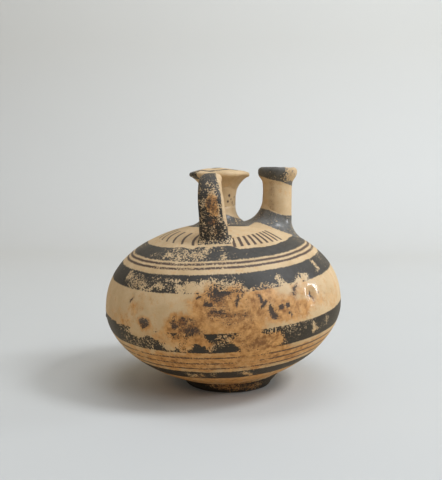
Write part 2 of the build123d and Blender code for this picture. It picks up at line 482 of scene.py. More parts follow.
# %% Turn the body
BELLY_RADIUS = 57.75
BELLY_HEIGHT = 39.8
SHOULDER_RISE = 39.4
SHOULDER_FULLNESS = 0.60
BASE_DROP = 39.0
BASE_FULLNESS = 0.50
BASE_HEIGHT = 2.2
WALL = 4.5
FLOOR_TOP = 7.7
FLOOR_FULLNESS = 0.58
OPENING_RADIUS = 8.0
BODY_COLUMNS = 400
SHOULDER_TOP = BELLY_HEIGHT + SHOULDER_RISE


def quarter_oval(radius, rise, fullness, count):
    """From the belly to the axis: a cubic Bezier, rounder as fullness grows."""
    end = BELLY_HEIGHT + rise
    corner = (radius, BELLY_HEIGHT + fullness * rise)
    return bezier([(radius, BELLY_HEIGHT), corner, (fullness * radius, end), (0, end)], count)


shoulder = quarter_oval(BELLY_RADIUS, SHOULDER_RISE, SHOULDER_FULLNESS, 130)
underside = quarter_oval(BELLY_RADIUS, -BASE_DROP, BASE_FULLNESS, 84)[::-1]


def shoulder_height(radius):
    """Height of the outer wall above the belly at a radius, read off the shoulder's outline."""
    return np.interp(radius, shoulder[::-1, 0], shoulder[::-1, 1])


def body_profile():
    """The outline from the middle of the base, over the shoulder and back to the middle of the floor.

    The second result says how many of its points lie on the outside.
    """
    lower = underside[underside[:, 1] > BASE_HEIGHT]
    upper = shoulder[shoulder[:, 0] > OPENING_RADIUS][1:]
    base = np.linspace((2, BASE_HEIGHT), (lower[0, 0], BASE_HEIGHT), 4)[:-1]
    ceiling = quarter_oval(BELLY_RADIUS - WALL, SHOULDER_RISE - WALL, SHOULDER_FULLNESS, 14)[::-1]
    floor = quarter_oval(BELLY_RADIUS - WALL, FLOOR_TOP - BELLY_HEIGHT, FLOOR_FULLNESS, 12)
    inside = ceiling[ceiling[:, 0] > OPENING_RADIUS]
    rim = [(OPENING_RADIUS, shoulder_height(OPENING_RADIUS)), (OPENING_RADIUS, SHOULDER_TOP - WALL)]
    outline = np.concatenate([base, lower, upper, rim, inside, floor[1:-1]])
    return outline, len(base) + len(lower) + len(upper)


def body_unevenness(rows):
    """Outward push in mm: long waves from the hand and faint throwing rings, kept below zero, and dents."""
    rings = lumps(rows * np.array([0.02, 0.02, 1]), 6, seed=3)
    waves = 0.14 * lumps(rows, 55, seed=1) + 0.07 * lumps(rows, 18, seed=2) + 0.04 * rings
    return np.minimum(waves - 0.12, 0) + spots(rows, BODY_DENTS)


profile, outer_rows = body_profile()
body_rows = turned(profile, BODY_COLUMNS)
push = body_unevenness(body_rows)
push[outer_rows:] = 0
body_shape = pushed(body_rows, push)
print("the body's outline has", len(profile), "points and bulges at most", round(push.max(), 2), "mm")

# %% [markdown]
# ## The hole for the spout
# The potter pierced the shoulder where the spout would go. The grid could be opened there by leaving
# faces out, but the edge would be ragged, so a drill is pushed through by a Boolean and the result is
# kept as the mesh. The marks of paint and wear go in with the skin, before the hole is made.

# %% Skin the body and pierce it for the spout
SPOUT_TILT = 3.0
SPIGOT_RADIUS = 6.0


def spout_placed(points):
    """Spout's own frame to wheel frame: tilt, then up to the shoulder under the spout."""
    return tilted(points, SPOUT_TILT) + np.array([SPOUT_OFFSET, 0, shoulder_height(SPOUT_OFFSET)])


ragged_rows = strayed(strayed(body_rows, 0.9, 9, seed=71), 0.5, 3.2, seed=75)
old_wear = np.clip(0.22 * lumps(body_rows, 34, seed=78), 0, 0.3)
fan, pitch, strokes = field_strokes(body_rows)
thrown_body = skin(
    "thrown_body_skin",
    leaned(body_shape),
    slip=-pale_field(strayed(body_rows, 0.15, 9, seed=79)),
    strokes=strokes,
    fan=fan,
    pitch=pitch,
    wear=spots(ragged_rows, BODY_WEAR) + old_wear,
    rust=spots(ragged_rows, BODY_RUST),
    stain=spots(ragged_rows, BODY_STAIN),
    polish=spots(ragged_rows, BODY_POLISH),
)
drill_rows = turned(np.linspace((SPIGOT_RADIUS, -12), (SPIGOT_RADIUS, 12), 3), 48)
drill = skin("drill", leaned(spout_placed(drill_rows)))
hole = thrown_body.modifiers.new("spout hole", "BOOLEAN")
hole.object = drill
hole.solver = "EXACT"
pierced = bpy.data.meshes.new_from_object(thrown_body.evaluated_get(bpy.context.evaluated_depsgraph_get()))
thrown_body.modifiers.clear()
thrown_body.data = pierced
bpy.data.objects.remove(drill)
print("pierced body:", len(pierced.polygons), "faces", [a.name for a in pierced.attributes])

# %% [markdown]
# ## The ring foot
# A coil of clay was turned under the body to make it stand. Its side flares up into the body and its
# lower edges are rubbed round. It is a ring, so its profile closes on itself, with its top sunk in the
# clay above.

# %% Turn the foot
FOOT_RADIUS = 21.2
FOOT_INNER_RADIUS = 16.4
FOOT_FLARE = 35.0
FOOT_ROUNDING = 0.8
FOOT_SUNK = 9.0


def foot_profile():
    """Round the ring: up the flaring side, across inside the body, down the inner side, under the foot."""
    lean_out = math.tan(math.radians(FOOT_FLARE))
    side = np.linspace((FOOT_RADIUS, FOOT_ROUNDING), (FOOT_RADIUS + FOOT_SUNK * lean_out, FOOT_SUNK), 16)
    top = np.linspace(side[-1], (FOOT_INNER_RADIUS, FOOT_SUNK - 1), 6)[1:]
    inner = np.linspace(top[-1], (FOOT_INNER_RADIUS, FOOT_ROUNDING), 6)[1:-1]
    inner_edge = arc((FOOT_INNER_RADIUS + FOOT_ROUNDING, FOOT_ROUNDING), FOOT_ROUNDING, 180, 270, 6)
    outer_edge = arc((FOOT_RADIUS - FOOT_ROUNDING, FOOT_ROUNDING), FOOT_ROUNDING, 270, 360, 6)
    return np.concatenate([side, top, inner, inner_edge, outer_edge[:-1]])


foot_rows = turned(foot_profile(), 200)
foot_push = 0.18 * lumps(foot_rows, 14, seed=11) - 0.2
foot_push *= np.clip(foot_rows[..., 2] / FOOT_ROUNDING, 0, 1)
foot_shape = pushed(foot_rows, foot_push)
FOOT_WEAR = [
    (-102, 4.0, 6, 2.4, 0.45),
    (-80, 3.0, 8, 2.6, 0.5),
    (-50, 2.5, 6, 3, 0.4),
    (150, 2.5, 14, 4, 0.4),
]
FOOT_RUST = [(-84, 2.5, 22, 5, 0.7), (100, 2.5, 20, 4, 0.6)]
ring_foot = skin(
    "ring_foot_skin",
    foot_shape,
    ring=True,
    wear=spots(foot_rows, FOOT_WEAR),
    rust=spots(foot_rows, FOOT_RUST),
    # The foot's clay is stained dark all round, partly a real stain and partly painted shade under the
    # overhanging belly, and it gets no painted sheen.
    stain=0.45,
    film=0.0,
)

# %% [markdown]
# ## The false neck and its disc
# The neck is a solid stem that closes the opening that the body was thrown through. The disc on top of it
# is thin at its rim and slopes down underneath like a trumpet into the stem. Both are turned, then leaned
# their own way, because the potter set them by eye.

# %% Outlines of the stem and the disc
NECK_TILT = 2.5
STEM_ROOT_RADIUS = 9.4
STEM_RADIUS = 8.0
STEM_TOP_RADIUS = 8.9
STEM_HEIGHT = 17.0
TENON_RADIUS = 4.5
PLUG_DEPTH = 6.0
DISC_RADIUS = 14.8
DISC_RIM_RISE = 4.9
DISC_RIM_THICKNESS = 2.6
DISC_CROWN = 2.1
DISC_RING_RADIUS = 9.6
DISC_RING_HALF_WIDTH = 1.1
DISC_SPOT_RADIUS = 3.5
DARK_RIM_AZIMUTH = -172
DARK_RIM_HALF_ANGLE = 42
DARK_RIM_INNER = 11.5
STEM_PAINT_TOP = 84.8
STEM_PAINT_SLOPE = -0.42
rim_low = STEM_HEIGHT + DISC_RIM_RISE
rim_high = rim_low + DISC_RIM_THICKNESS


def neck_placed(points):
    """Neck's own frame to wheel frame: tilt, then up to the top of the shoulder."""
    return tilted(points, NECK_TILT) + np.array([0, 0, SHOULDER_TOP])


def stem_slip(points):
    """Distance below the slanting edge of the slip on the stem: z = top + slope x there."""
    return STEM_PAINT_TOP + STEM_PAINT_SLOPE * points[..., 0] - points[..., 2]


def stem_profile():
    """Plug below, waisted stem, and a top that ends inside the disc."""
    plug = [(2, -PLUG_DEPTH), (OPENING_RADIUS - 0.1, -PLUG_DEPTH), (OPENING_RADIUS - 0.1, -2)]
    waist = 2 * STEM_RADIUS - (STEM_ROOT_RADIUS + STEM_TOP_RADIUS) / 2
    stem = bezier([(STEM_ROOT_RADIUS, -1.5), (waist, STEM_HEIGHT / 2), (STEM_TOP_RADIUS, STEM_HEIGHT)], 40)
    return np.concatenate([plug, stem, [(TENON_RADIUS, STEM_HEIGHT + 1), (1, STEM_HEIGHT + 1)]])


def disc_profile():
    """A hollowed underside that grows out of the stem, a rounded rim and a low crown."""
    reach = DISC_RADIUS - DISC_RIM_THICKNESS / 2
    socket = np.linspace((1, STEM_HEIGHT - 6), (STEM_RADIUS - 1.5, STEM_HEIGHT - 6), 4)
    foot_of_bell = (STEM_RADIUS - 0.35, STEM_HEIGHT - 6)
    bend = (STEM_RADIUS + 0.1, STEM_HEIGHT - 1)
    bell = bezier([foot_of_bell, bend, (reach - 4.2, rim_low - 3.1), (reach, rim_low)], 30)
    edge = arc((reach, rim_low + DISC_RIM_THICKNESS / 2), DISC_RIM_THICKNESS / 2, -80, 80, 10)
    top = rim_high + DISC_CROWN
    crown = bezier([(reach, rim_high), (reach / 2, top), (0.5, top)], 22)
    return np.concatenate([socket, bell, edge, crown])


print("the disc's rim is", round(rim_low, 1), "to", round(rim_high, 1), "mm above the shoulder")

# %% Turn the stem
stem_rows = neck_placed(turned(stem_profile(), 160))
stem_push = 0.14 * lumps(stem_rows, 12, seed=21) + 0.05 * lumps(stem_rows, 5, seed=22) - 0.1
STEM_STAIN = [
    (-47, 92.1, 0.8, 0.9, 0.9),
    (-52, 89.4, 0.7, 0.8, 0.9),
    (-25, 87.0, 0.5, 0.9, 0.9),
    (-38, 90.2, 0.5, 0.6, 0.8),
    (-31, 88.6, 0.5, 1.0, 0.8),
    (-60, 86.6, 0.6, 0.6, 0.7),
    (-20, 91.2, 0.5, 0.7, 0.8),
]
false_neck = skin(
    "false_neck_skin",
    leaned(pushed(stem_rows, stem_push)),
    slip=stem_slip(stem_rows),
    stain=spots(stem_rows, STEM_STAIN),
)

# %% Turn the disc
disc_rows = neck_placed(turned(disc_profile(), 220))
disc_push = 0.2 * lumps(disc_rows, 13, seed=31) + 0.08 * lumps(disc_rows, 5, seed=32)
disc_push = np.minimum(disc_push - 0.2, 0)
disc_azimuth, disc_reach, disc_height = polar(disc_rows)
off_dark_rim = np.abs((disc_azimuth - DARK_RIM_AZIMUTH + 180) % 360 - 180)
dark_rim = np.minimum(disc_reach - DARK_RIM_INNER, DARK_RIM_HALF_ANGLE - off_dark_rim)
on_top = disc_height - SHOULDER_TOP - rim_high
painted_ring = np.minimum(DISC_RING_HALF_WIDTH - np.abs(disc_reach - DISC_RING_RADIUS), on_top)
painted_spot = np.minimum(DISC_SPOT_RADIUS - disc_reach, on_top)
false_mouth_disc = skin(
    "false_mouth_disc_skin",
    leaned(pushed(disc_rows, disc_push)),
    slip=np.maximum.reduce([np.minimum(dark_rim, 3), painted_ring, painted_spot]),
    wear=0.25,
)

# %% [markdown]
# ## The strap handles
# Each handle was pulled as a flat strap, pressed to the disc, bent over and pressed to the shoulder. A
# curve with a bevel would give it one section all the way. Here a flattened oval is carried along a path
# of line, arc and line. It grows wider on the way down, and its root is spread where it was pressed on.

# %% Carry the strap's section along its path
HANDLE_WIDTHS = [10.2, 11.7, 13.6]
HANDLE_WIDTHS_AT = [0.2, 0.5, 1]
HANDLE_ROOT_WIDTH = HANDLE_WIDTHS[-1]
ROOT_SPREAD = 0.10
ROOT_SPREAD_LENGTH = 0.06
HANDLE_SLANT = 3.2
HANDLE_THICKNESS = 6.2
HANDLE_SPAN = 30.0
HANDLE_ROOT_SPAN = 32.3
HANDLE_ROOT_DEPTH = 2.5
HANDLE_BEND = 13.5
HANDLE_DROP = 0.4
HANDLE_ROUNDNESS = 2.4
STRAP_COLUMNS = 72


def strap_path():
    """Radius and height along the strap's middle: level out of the disc, round the bend and down."""
    top = SHOULDER_TOP + rim_high - HANDLE_DROP - HANDLE_THICKNESS / 2
    start = np.array([TENON_RADIUS, top])
    corner = np.array([HANDLE_SPAN, top])
    root = np.array([HANDLE_ROOT_SPAN, shoulder_height(HANDLE_ROOT_SPAN) - HANDLE_ROOT_DEPTH])
    down = (root - corner) / np.linalg.norm(root - corner)
    turn = math.acos(down[0])
    setback = HANDLE_BEND * math.tan(turn / 2)
    bend_start = corner - np.array([setback, 0])
    bend = arc(bend_start - np.array([0, HANDLE_BEND]), HANDLE_BEND, 90, 90 - math.degrees(turn), 40)
    return np.concatenate([np.linspace(start, bend[0], 20)[:-1], bend, np.linspace(bend[-1], root, 44)[1:]])


def oval_section(count):
    """Points round a superellipse of half sizes 1: cos^(2/n) across and sin^(2/n) through, signs kept."""
    angle = np.linspace(0, 2 * np.pi, count, endpoint=False)
    power = 2 / HANDLE_ROUNDNESS
    return [np.sign(way) * np.abs(way) ** power for way in (np.cos(angle), np.sin(angle))]


def strap_rows():
    """An oval square to the path at each row: half the width across, half the thickness through it.

    The width goes in straight lines between the given ones, times 1 + spread exp(-d^2) near the root.
    """
    path = strap_path()
    heading = np.gradient(path, axis=0)
    heading /= np.linalg.norm(heading, axis=1, keepdims=True)
    outward = np.stack([-heading[:, 1], heading[:, 0]], -1)
    share = np.linspace(0, 1, len(path))[:, None]
    spread = 1 + ROOT_SPREAD * np.exp(-(((share - 1) / ROOT_SPREAD_LENGTH) ** 2))
    width = np.interp(share, HANDLE_WIDTHS_AT, HANDLE_WIDTHS) * spread
    across, through = oval_section(STRAP_COLUMNS)
    x = width / 2 * across
    plan = path[:, None, :] + outward[:, None, :] * (HANDLE_THICKNESS / 2 * through)[None, :, None]
    upright = np.stack([x, -plan[..., 0], plan[..., 1]], -1)
    root = np.array([0, 0, path[-1, 1]])
    return tilted(upright - root, -HANDLE_SLANT) + root


strap = strap_rows()
print("strap grid:", strap.shape, "reaches y =", round(strap[..., 1].min(), 1))

# %% Dress both straps
HANDLE_WEAR = [
    (-91, 90.8, 1.7, 3.8, 0.46),
    (-89.5, 86.0, 2.0, 3.6, 0.52),
    (-92, 81.2, 2.0, 1.0, 0.50),
    (-95, 82.6, 2.0, 0.8, -0.45),
    (-90, 83.6, 2.2, 0.8, -0.40),
    (-97, 100.5, 4.0, 4.0, -0.12),
]
HANDLE_RUST = [(-91, 88.4, 2.8, 6.2, 1.3), (-92, 81.2, 2.6, 1.5, 1.2), (-90, 78.0, 4.0, 6.0, 0.3)]
HANDLE_FLECKED = 0.31
# Wear runs down the strap in streaks about 2 mm wide and four or five times as long.
STREAK = 2.0
STREAK_LENGTH = 4.5
STREAK_WEAR = 0.09
# How far the slip reaches to the right, and from which reach outwards there is any, by height.
EDGE_RESERVE = ([76, 82, 94, 97, 100, 103], [8.5, 5.7, 5.5, 5.2, 4.2, 3.4])
OUTER_FACE = ([72, 96, 104], [30.5, 27.5, 14])


def make_handle(name, points, seed):
    """One strap with its paint: streaky slip on the outer face, a pale right edge and a pale under side."""
    shape = pushed(points, 0.16 * lumps(points, 12, seed=seed) - 0.16)
    x, y, z = np.moveaxis(points, -1, 0)
    front = strayed(points * np.array([1, -np.sign(y.mean()), 1]), 0.5, 4, seed=44)
    upright = x + math.tan(math.radians(HANDLE_SLANT)) * (z - SHOULDER_PAINT_LOW)
    streaks = lumps(points / np.array([1, 1, STREAK_LENGTH]), STREAK, seed=46)
    rust = spots(front, HANDLE_RUST)
    reserve = np.interp(z, *EDGE_RESERVE)
    outer_face = np.abs(y) - np.interp(z, *OUTER_FACE)
    return skin(
        name,
        leaned(shape),
        slip=np.minimum(reserve - upright, outer_face),
        wear=spots(front, HANDLE_WEAR) + HANDLE_FLECKED + STREAK_WEAR * streaks,
        rust=rust,
        stain=0.15 + 0.4 * np.clip(rust * (0.5 + 0.6 * streaks), 0, 1),
    )


front_handle = make_handle("front_handle_skin", strap, seed=41)
rear_handle = make_handle("rear_handle_skin", strap[:, ::-1] * np.array([1, -1, 1]), seed=42)

# %% [markdown]
# ## The spout
# The spout is a small thrown tube with a rolled lip, set nearly upright on the sloping shoulder. Its wall
# has two faces and a bore, so it is a ring too: up the outside, over the lip, down the bore and back.

# %% Outline of the spout and the edges of its slip
SPOUT_RADIUS = 7.15
SPOUT_BORE_RADIUS = 4.4
SPOUT_HEIGHT = 29.6
SPIGOT_DEPTH = 8.0
SPIGOT_BORE_RADIUS = 5.0
SPIGOT_BORE_TOP = 13.0
LIP_RADIUS = 9.5
LIP_FLARE_HEIGHT = 7.0
MOUTH_RADIUS = 5.8
MOUTH_DEPTH = 4.0
WORN_LIP_AZIMUTH = -32
WORN_LIP_HALF_ANGLE = 32
WORN_LIP_LOW = 96.5
# A patch on the tube's left side, below a set height, where the clay is made darker and browner.
LEFT_DARKENING_AZIMUTH = -112
LEFT_DARKENING_HALF_ANGLE = 13
LEFT_DARKENING_TOP = 98
# The spout's slip is greyed strongly by haze and painted sheen, most of all at its base below a set height.
HAZE_SHEEN_TOP = 88
HAZE_SHEEN_FADE = 4
HAZE_SHEEN_LIMITS = (1.6, 2.6)
# Heights of the slip's edges along X, on the spout's base and on its lip.
BASE_EDGE = ([20, 24.6, 27.5, 31.3, 36], [85.4, 84.4, 82.8, 81.6, 81.0])
LIP_EDGE = ([20, 25.6, 30.7, 36, 38], [101.2, 98.8, 97.7, 95.3, 94.8])


def spout_profile():
    """Round the wall: spigot, tube, flare, lip, funnel mouth and bore."""
    lip_low = SPOUT_HEIGHT - (LIP_RADIUS - MOUTH_RADIUS) / 2
    flare_low = lip_low - LIP_FLARE_HEIGHT
    flare_middle = (flare_low + lip_low) / 2
    funnel_low = lip_low - MOUTH_DEPTH
    spigot = np.linspace((SPIGOT_RADIUS - 0.2, -SPIGOT_DEPTH), (SPIGOT_RADIUS - 0.2, -1.5), 8)
    tube = np.linspace((SPOUT_RADIUS, -1), (SPOUT_RADIUS, flare_low), 50)
    flare = bezier(
        [tube[-1], (SPOUT_RADIUS, flare_middle), (LIP_RADIUS, flare_middle), (LIP_RADIUS, lip_low)], 24
    )
    lip = arc(((LIP_RADIUS + MOUTH_RADIUS) / 2, lip_low), (LIP_RADIUS - MOUTH_RADIUS) / 2, 0, 180, 22)
    funnel_middle = (SPOUT_BORE_RADIUS, (funnel_low + lip_low) / 2)
    funnel = bezier([lip[-1], funnel_middle, (SPOUT_BORE_RADIUS, funnel_low)], 12)
    bore = np.linspace(funnel[-1], (SPOUT_BORE_RADIUS, SPIGOT_BORE_TOP), 10)
    widening = np.linspace(bore[-1], (SPIGOT_BORE_RADIUS, -SPIGOT_DEPTH), 16)
    return np.concatenate([spigot, tube, flare[1:], lip[1:], funnel[1:], bore[1:], widening[1:]])


def spout_base_slip(points):
    """Distance below the slanting edge of the slip round the spout's base."""
    return np.interp(points[..., 0], *BASE_EDGE) - points[..., 2]


def spout_slip(points):
    """Distance inside the slip on the spout: above the lip's slanting edge or below the base's."""
    return np.maximum(points[..., 2] - np.interp(points[..., 0], *LIP_EDGE), spout_base_slip(points))


print("the spout's outline has", len(spout_profile()), "points")

# %% Turn the spout
spout_own = turned(spout_profile(), 180)
spout_rows = spout_placed(spout_own)
spout_push = 0.16 * lumps(spout_rows, 11, seed=51) + 0.06 * lumps(spout_rows, 4.5, seed=52)
spout_push = np.minimum(spout_push - 0.1, 0)
spout_azimuth = np.degrees(np.arctan2(spout_own[..., 1], spout_own[..., 0]))
spout_level = spout_rows[..., 2]
worn_lip = np.exp(-(((spout_azimuth - WORN_LIP_AZIMUTH) / WORN_LIP_HALF_ANGLE) ** 4))
worn_lip = worn_lip * np.clip((spout_level - WORN_LIP_LOW) / 2, 0, 1)
# The tube's clay is darker and browner on its left side.
left_darkening = 0.4 * np.exp(-(((spout_azimuth - LEFT_DARKENING_AZIMUTH) / LEFT_DARKENING_HALF_ANGLE) ** 4))
left_darkening = left_darkening * (spout_level < LEFT_DARKENING_TOP)
pouring_spout = skin(
    "pouring_spout_skin",
    leaned(pushed(spout_rows, spout_push)),
    ring=True,
    slip=spout_slip(spout_rows),
    wear=0.66 * worn_lip + 0.12,
    rust=0.05 * worn_lip,
    stain=left_darkening + 0.2 * worn_lip,
    # Haze and painted sheen on the spout's slip.
    film=np.clip((HAZE_SHEEN_TOP - spout_level) / HAZE_SHEEN_FADE, *HAZE_SHEEN_LIMITS),
)

# %% [markdown]
# ## Luting clay
# Soft clay was pressed into the corner where each piece meets the body and wiped into a smooth hollow
# curve. A bevel on a boolean union could make it, but would tie all the pieces into one mesh. Each fillet
# is its own ring instead: a Bezier hollow, from the wall of the piece above to the shoulder around it,
# carried round the corner, with its back buried in the clay.

# %% Carry a hollow curve round each corner
LUTING_STEPS = 12
LUTING_COLUMNS = 160
ROOT_COLUMNS = 96
# How deep the fillet's edges are sunk in the wall and the shoulder, and its back behind and under them.
SUNK_IN_WALL = 0.25
SUNK_IN_SHOULDER = 0.45
BACK_IN_WALL = 1.2
BACK_UNDER = 1.6
ROOT_LUTING_SPREAD = 1.06
ROOT_LUTING_SHIFT = 0.1


def luting_rows(wall, outward, up, height_on_wall, width_on_shoulder):
    """Grid of a fillet ring round a wall.

    Each column starts at a point of the wall above the corner and bends by a quadratic Bezier, whose
    middle control point is the corner itself, to a point of the shoulder further out. Two more rows under
    the surface close the ring.
    """
    corner = wall
    for _ in range(3):
        drop = shoulder_height(np.hypot(corner[..., 0], corner[..., 1])) - corner[..., 2]
        corner = corner + up * drop[..., None]
    high = corner + up * height_on_wall[..., None] - SUNK_IN_WALL * outward
    wide = corner + outward * width_on_shoulder[..., None]
    wide[..., 2] = shoulder_height(np.hypot(wide[..., 0], wide[..., 1])) - SUNK_IN_SHOULDER
    t = np.linspace(0, 1, LUTING_STEPS)[:, None, None]
    hollow = (1 - t) ** 2 * wide + 2 * t * (1 - t) * corner + t**2 * high
    inner = high - BACK_IN_WALL * outward
    under = corner - np.array([0, 0, BACK_UNDER]) - outward
    return np.concatenate([hollow, inner[None], under[None]])


def round_luting(radius, placed, ahead, behind):
    """Fillet round a turned piece, whose height and width go from one pair, at +X, to another, at -X.

    The share of the second pair is ((1 - cos a) / 2)^2.
    """
    outward = turned([(1, 0)], LUTING_COLUMNS)[0]
    up = placed(np.array([0, 0, 1.0])) - placed(np.zeros(3))
    share = (0.5 - 0.5 * outward[:, 0]) ** 2
    height, width = (first + (second - first) * share for first, second in zip(ahead, behind))
    return luting_rows(placed(radius * outward), outward, up, height, width)


def strap_luting(size):
    """Fillet round the front strap's root, the same height and width all round its oval section."""
    across, through = oval_section(ROOT_COLUMNS)
    outward = turned([(1, 0)], ROOT_COLUMNS)[0]
    x = HANDLE_ROOT_WIDTH * ROOT_LUTING_SPREAD / 2 * across
    y = HANDLE_THICKNESS / 2 * through - HANDLE_ROOT_SPAN + ROOT_LUTING_SHIFT
    even = np.full(ROOT_COLUMNS, size)
    return luting_rows(np.stack([x, y, 0 * x], -1), outward, np.array([0, 0, 1.0]), even, even)


print("a fillet has", LUTING_STEPS, "rows in sight and two that are buried")

# %% Make the four lutings


def make_luting(name, rows, wear, film, upper_edge=3.0, polish=0.0):
    """A fillet ring that carries the body's paint over the joint, up to the edge of the slip above it.

    Its polish grows evenly from the shoulder to the wall, so the outer edge shines as the body does.
    """
    shape = pushed(rows, 0.1 * lumps(rows, 8, seed=61))
    slip = np.minimum(-pale_field(rows), upper_edge)
    rubbed = np.linspace(0, polish, len(rows))[:, None]
    return skin(name, leaned(shape), ring=True, slip=slip, wear=wear, film=film, polish=rubbed)


spout_fillet = round_luting(SPOUT_RADIUS, spout_placed, (7.6, 7.6), (14.5, 17.5))
neck_fillet = round_luting(STEM_RADIUS + 0.15, neck_placed, (8.2, 8.4), (5.5, 8.2))
root_fillet = strap_luting(1.3)
spout_edge, neck_edge = spout_base_slip(spout_fillet), stem_slip(neck_fillet)
# The fillets round the spout and the neck get a strong haze and painted sheen on their slip, those round
# the handles a little.
spout_luting = make_luting("spout_luting_skin", spout_fillet, 0.17, 2.0, spout_edge, polish=0.5)
neck_luting = make_luting("neck_luting_skin", neck_fillet, 0.24, 1.4, neck_edge, polish=0.3)
front_handle_luting = make_luting("front_handle_luting_skin", root_fillet, wear=0.4, film=0.4)
rear_root_fillet = root_fillet[:, ::-1] * np.array([1, -1, 1])
rear_handle_luting = make_luting("rear_handle_luting_skin", rear_root_fillet, wear=0.4, film=0.4)

# %% [markdown]
# ## Slip on buff clay
# The clay is a fine buff earthenware, smoothed and lightly burnished, so it has a soft sheen and no glaze.
# The slip is the same clay washed to its finest part, brushed on thin. It fired to a brown-black skin that
# shines a little, goes brown where the brush ran dry, and flakes off in specks about a millimetre wide.
# One material serves the whole jar, because the painter worked over the joints.

# %% Colours and helpers for nodes
CLAY_BUFF = "#C3A57C"
CLAY_PALE = "#D6BD98"
CLAY_RUST = "#DCAA6E"
CLAY_BURNT = "#AE783F"
CRUST_BROWN = "#7C522E"
SLIP_DARK = "#2C2721"
# The grey that slip turns to: some haze on it, and a painted sheen for the light it reflects.
SLIP_HAZE_AND_SHEEN = "#6C6A66"
SLIP_THIN = "#65493A"
SMUDGE_BROWN = "#6E5140"
STAIN_BROWN = "#483A31"


def linear(code):
    """sRGB hex to linear RGBA: c/12.92 below 0.04045, else ((c + 0.055)/1.055)^2.4."""
    channels = [int(code[i : i + 2], 16) / 255 for i in (1, 3, 5)]
    return [c / 12.92 if c <= 0.04045 else ((c + 0.055) / 1.055) ** 2.4 for c in channels] + [1.0]


def add(tree, kind, inputs=None, **settings):
    """Add a node, set its properties, and give each named input a value or a link from another node."""
    node = tree.nodes.new("ShaderNode" + kind)
    for name, value in settings.items():
        setattr(node, name, value)
    for name, value in (inputs or {}).items():
        if isinstance(value, bpy.types.Node):
            value = value.outputs[0]
        if isinstance(value, bpy.types.NodeSocket):
            tree.links.new(value, node.inputs[name])
        else:
            node.inputs[name].default_value = value
    return node


def reckon(tree, operation, *values, **settings):
    """A Math node: one operation on up to three numbers or links."""
    return add(tree, "Math", dict(enumerate(values)), operation=operation, **settings)


def stretched(tree, value, source=(0.0, 1.0), target=(0.0, 1.0)):
    """A Map Range node: from one pair of limits to another, in a straight line, kept within the second."""
    names = ("From Min", "From Max", "To Min", "To Max")
    return add(tree, "MapRange", {"Value": value, **dict(zip(names, source + target))})


def stored(tree, mark):
    """What a skin's mark says at the point."""
    return add(tree, "Attribute", attribute_name=mark).outputs["Fac"]


def new_material(name):
    """A material with its node tree and its Principled shader."""
    material = bpy.data.materials.new(name)
    material.use_nodes = True
    return material, material.node_tree, material.node_tree.nodes["Principled BSDF"]


print("slip is", [round(c, 3) for c in linear(SLIP_DARK)[:3]], "in linear light")

# %% [markdown]
# ## Bands and lines
# Broad bands and thin lines were drawn with the brush held still while the jar turned. A colour ramp on
# height could paint them, but then their edges could not be made ragged by so many millimetres, so each
# band gives a distance instead. The bands dip about five degrees towards the front, as the jar shows,
# and are carried on nearly level behind.

# %% The slip's edge, from the bands and the stored distances
BAND_TILT = 5.0
BACK_DIP = 0.3
BAND_LEVELLING = 24.0
# The lowest band darkens the foot and the bottom of the body: dark slip, and partly painted shade under the
# belly.
BANDS = [(69.1, 120.0), (57.6, 64.4), (32.5, 41.7), (15.6, 20.7), (-20.0, 7.0)]
THIN_LINES = [68.1, 66.6, 29.6, 26.4, 23.2]
THIN_LINE_HALF_WIDTH = 0.38
STROKE_HALF_WIDTH = 0.68
BRUSH_WANDER = 0.5
BRUSH_WANDER_LENGTH = 26.0


def band_height(tree, coordinates):
    """Height in mm square to the planes of the bands, with the slow wander of a hand-held brush.

    The planes dip by the tilt towards the front, and by only a share of it behind the axis: there y is
    replaced by the soft least of y and minus that share of y.
    """
    axes = add(tree, "SeparateXYZ", {"Vector": coordinates})
    x, y, z = (axes.outputs[axis] for axis in "XYZ")
    behind = reckon(tree, "MULTIPLY", y, -BACK_DIP)
    front = reckon(tree, "SMOOTH_MIN", y, behind, BAND_LEVELLING * MM)
    bent = add(tree, "CombineXYZ", {"X": x, "Y": front, "Z": z})
    turn = (math.radians(-BAND_TILT), math.radians(LEAN), 0)
    upright = add(tree, "Mapping", {"Vector": bent, "Rotation": turn, "Scale": (1 / MM,) * 3})
    across = add(tree, "SeparateXYZ", {"Vector": upright})
    wander = add(
        tree, "TexNoise", {"Vector": coordinates, "Scale": 1 / (BRUSH_WANDER_LENGTH * MM), "Detail": 2.0}
    )
    offset = stretched(tree, wander, target=(-BRUSH_WANDER, BRUSH_WANDER))
    return reckon(tree, "ADD", across.outputs["Z"], offset)


def slip_distances(tree, height):
    """Distances in mm inside the broad slip and inside the thin lines.

    Broad slip is the largest of the bands' distances by height, cut by the stored distance. Thin lines are
    a half width less the distance to the nearest line. A stroke is a half width less the pitch times the
    distance to the nearest whole stroke number, cut by the stored distance to the ends.
    """
    bands = -100.0
    for low, high in BANDS:
        above = reckon(tree, "SUBTRACT", height, low)
        below = reckon(tree, "SUBTRACT", high, height)
        inside = reckon(tree, "MINIMUM", above, below)
        bands = reckon(tree, "MAXIMUM", inside, bands)
    cut = stored(tree, "slip")
    broad = reckon(tree, "MINIMUM", bands, cut)
    gap = 100.0
    for line in THIN_LINES:
        away = reckon(tree, "SUBTRACT", height, line)
        away = reckon(tree, "ABSOLUTE", away)
        gap = reckon(tree, "MINIMUM", away, gap)
    lines = reckon(tree, "SUBTRACT", THIN_LINE_HALF_WIDTH, gap)
    number = stored(tree, "fan")
    off_stroke = reckon(tree, "PINGPONG", number, 0.5)
    pitch = stored(tree, "pitch")
    off_stroke = reckon(tree, "MULTIPLY", off_stroke, pitch)
    inside = reckon(tree, "SUBTRACT", STROKE_HALF_WIDTH, off_stroke)
    strip = stored(tree, "strokes")
    stroke = reckon(tree, "MINIMUM", inside, strip)
    thin = reckon(tree, "MAXIMUM", lines, stroke)
    return broad, thin


